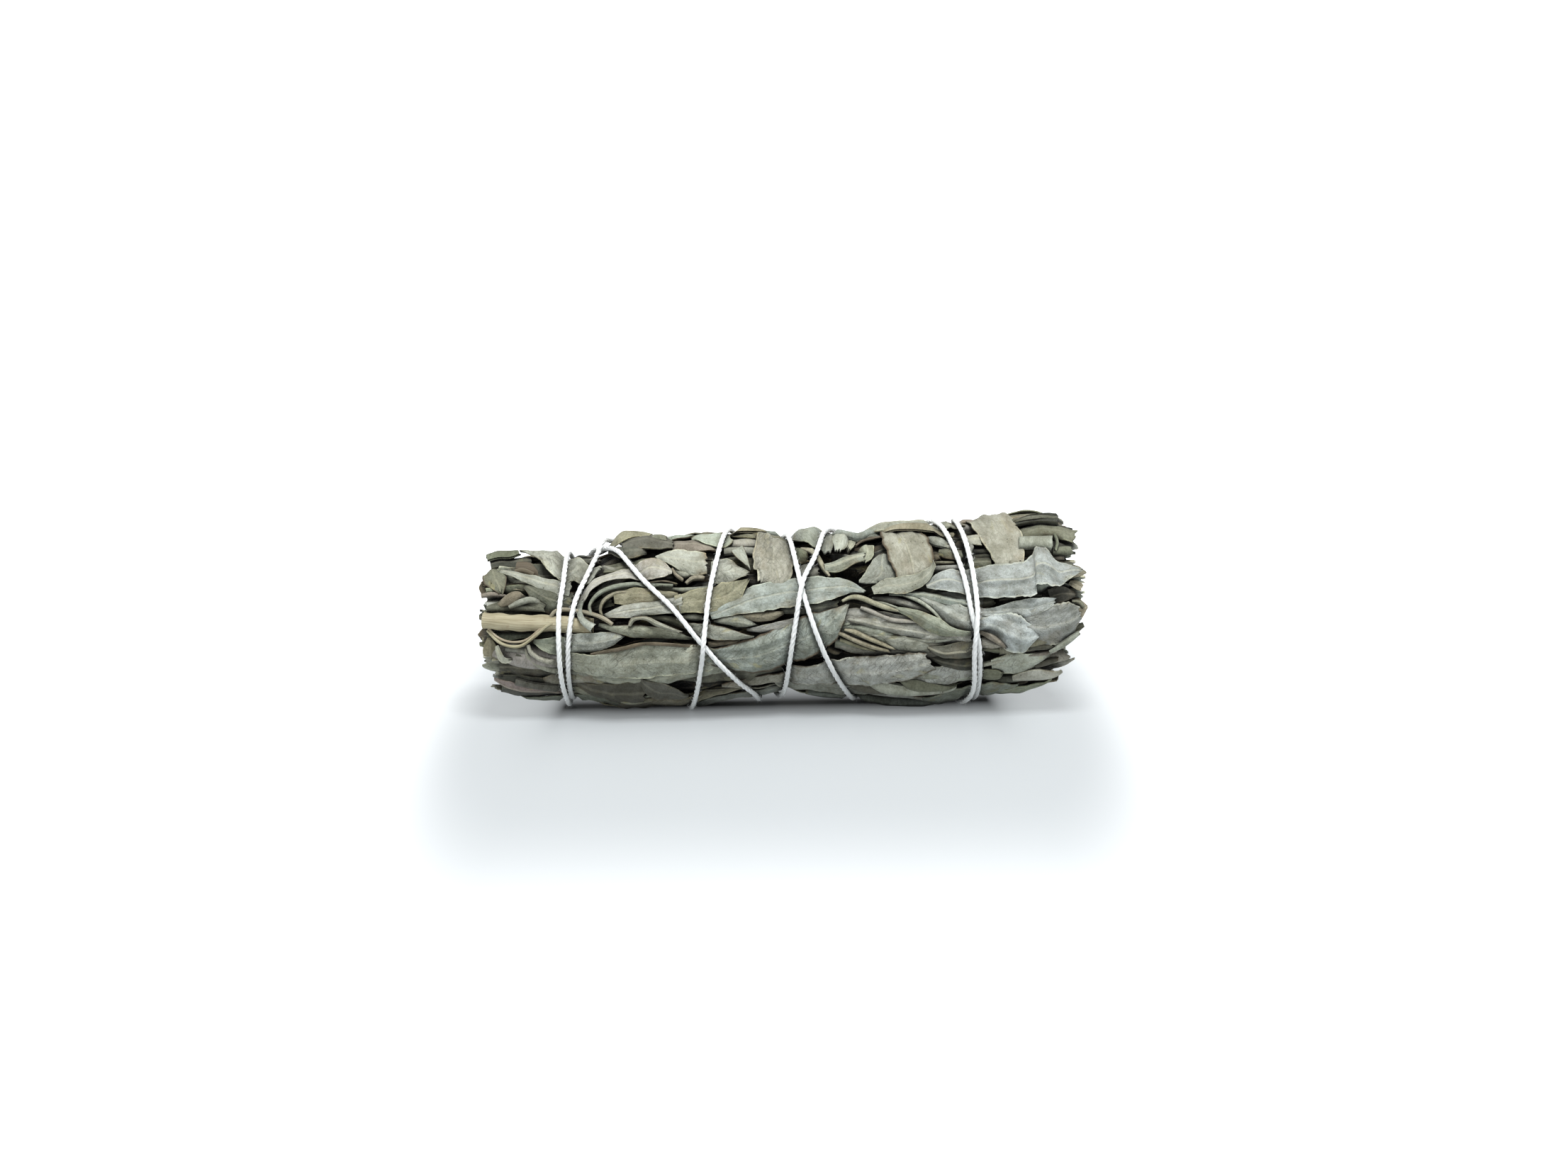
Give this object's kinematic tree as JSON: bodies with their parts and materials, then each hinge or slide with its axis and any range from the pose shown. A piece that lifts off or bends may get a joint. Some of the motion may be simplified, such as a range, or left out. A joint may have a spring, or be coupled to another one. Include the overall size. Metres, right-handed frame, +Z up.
{
  "type": "sage smudge stick",
  "caption": "Small bundle of dried sage stems and leaves, wound crosswise with cotton string, lying on its side.",
  "frame": {"origin": "on the surface that the bundle lies on, below the middle of its box", "axes": "+X along the bundle, from its cut stem end to its leafy end; +Z up; -Y is the front of the picture"},
  "size_m": [0.1046, 0.0344, 0.0322],
  "materials": {
    "sage_leaf": "dry, felted leaf",
    "cotton": "soft twisted cotton"
  },
  "bodies": {
    "root": {"sprig_top": "sage_leaf", "sprig_front": "sage_leaf", "sprig_low_front": "sage_leaf", "sprig_low_back": "sage_leaf", "sprig_back": "sage_leaf", "cotton_string": "cotton"}
  },
  "joints": []
}
